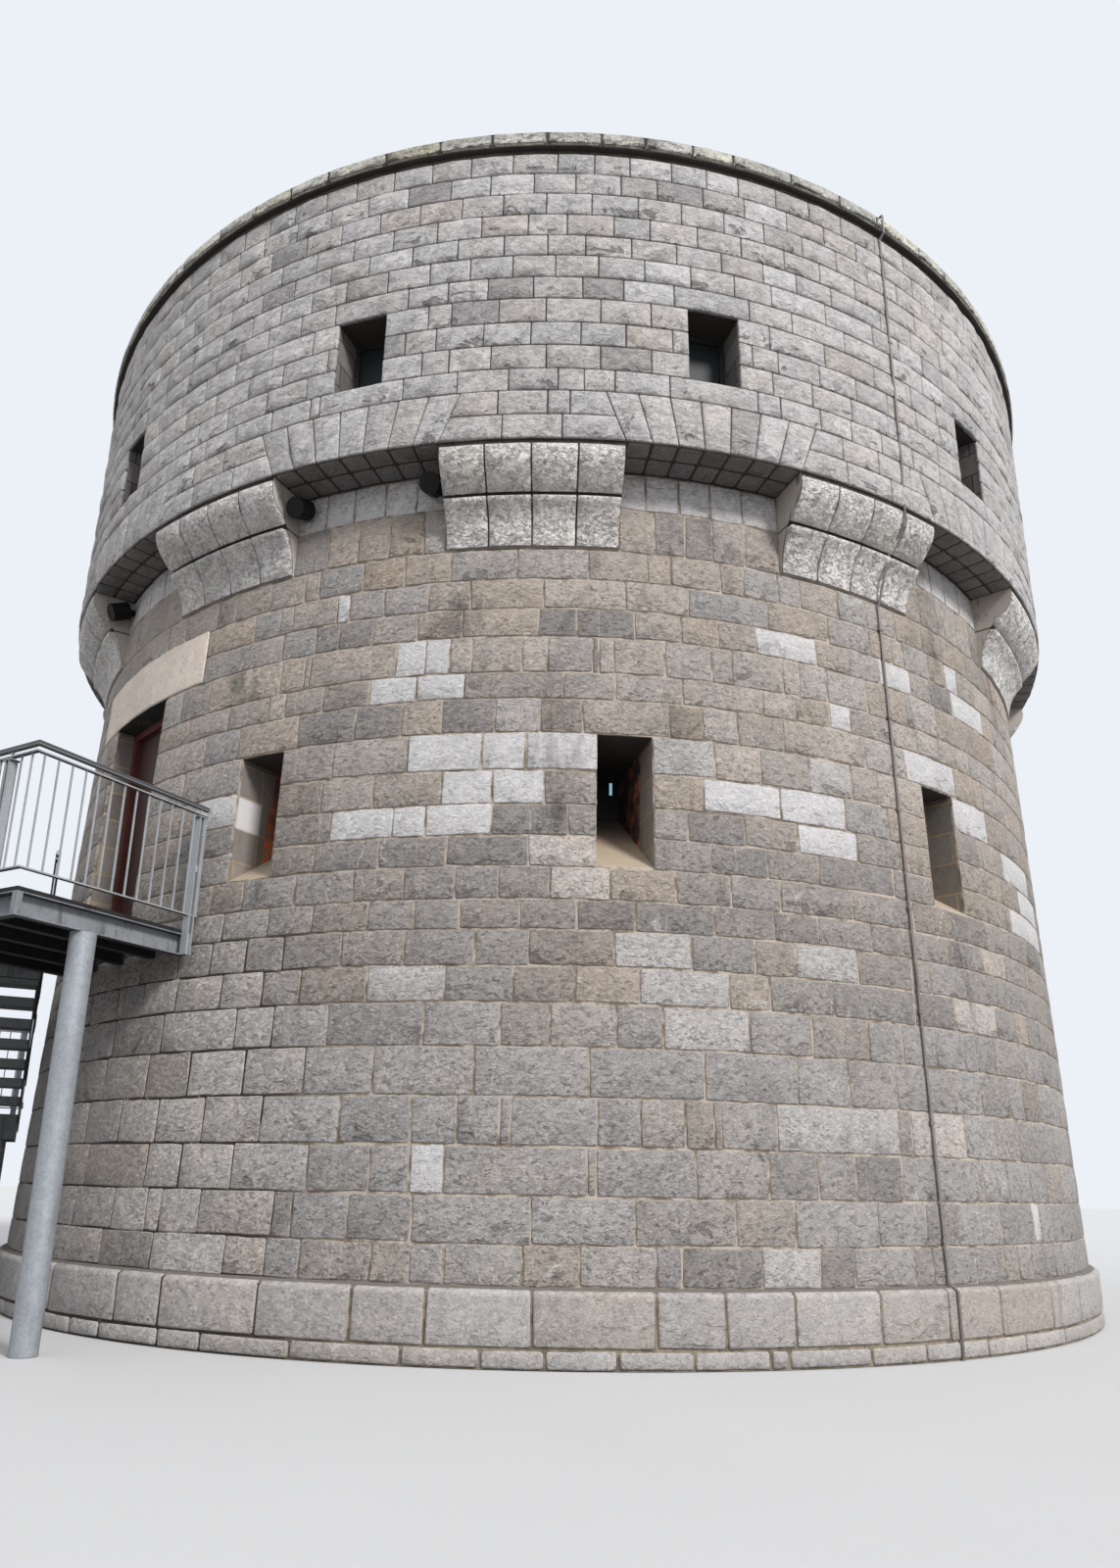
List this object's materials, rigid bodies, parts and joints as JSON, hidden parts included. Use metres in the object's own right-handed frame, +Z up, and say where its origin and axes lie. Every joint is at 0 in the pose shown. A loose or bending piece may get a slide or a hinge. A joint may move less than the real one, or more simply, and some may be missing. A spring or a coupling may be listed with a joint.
{
  "type": "martello tower",
  "caption": "Round battered stone coastal tower with splayed loopholes, a first-floor door, corbelled machicolations and a windowed parapet, reached by a steel stair and platform.",
  "frame": {"origin": "on the tower's axis at ground level", "axes": "+Z up, -Y out through the corbel that faces the picture, +X to the viewer's right"},
  "size_m": [14.3689, 12.7672, 10.625],
  "materials": {
    "coping_stone": "matte, lichened stone",
    "galvanised_steel": "dull galvanised",
    "painted_timber": "dark red-brown paint, satin",
    "dressed_stone": "matte, smooth dressed stone",
    "floor_stone": "matte",
    "lamp_housing": "black, satin",
    "conductor_tape": "dull",
    "dark_glass": "dark",
    "corbel_stone": "matte, dressed stone",
    "parapet_stone": "matte, rock-faced coursed ashlar",
    "plinth_stone": "matte, dressed limestone",
    "wall_stone": "matte, coursed rubble ashlar with weather stains",
    "window_glass": "clear"
  },
  "bodies": {
    "root": {"coping_back": "coping_stone", "coping_front": "coping_stone", "coping_left": "coping_stone", "coping_right": "coping_stone", "deck_columns": "galvanised_steel", "deck_joists": "galvanised_steel", "deck_plate": "galvanised_steel", "door_frame": "painted_timber", "door_leaf": "painted_timber", "door_lintel": "dressed_stone", "edge_channels": "galvanised_steel", "first_floor": "floor_stone", "flood_lamps": "lamp_housing", "ground_floor": "floor_stone", "guardrail_front": "galvanised_steel", "guardrail_left": "galvanised_steel", "guardrail_side": "galvanised_steel", "half_landing": "galvanised_steel", "landing_columns": "galvanised_steel", "landing_guards": "galvanised_steel", "lightning_conductor": "conductor_tape", "loophole_panes": "dark_glass", "lower_corbels": "corbel_stone", "machicolation_arches": "parapet_stone", "parapet_back": "parapet_stone", "parapet_front": "parapet_stone", "parapet_left": "parapet_stone", "parapet_right": "parapet_stone", "plinth_back": "plinth_stone", "plinth_front": "plinth_stone", "plinth_left": "plinth_stone", "plinth_right": "plinth_stone", "roof_deck": "floor_stone", "stair_guards": "galvanised_steel", "stair_stringers": "galvanised_steel", "stair_treads": "galvanised_steel", "upper_corbels": "corbel_stone", "upper_floor": "floor_stone", "wall_back": "wall_stone", "wall_front": "wall_stone", "wall_left": "wall_stone", "wall_right": "wall_stone", "window_frames": "painted_timber", "window_panes": "window_glass"}
  },
  "joints": []
}
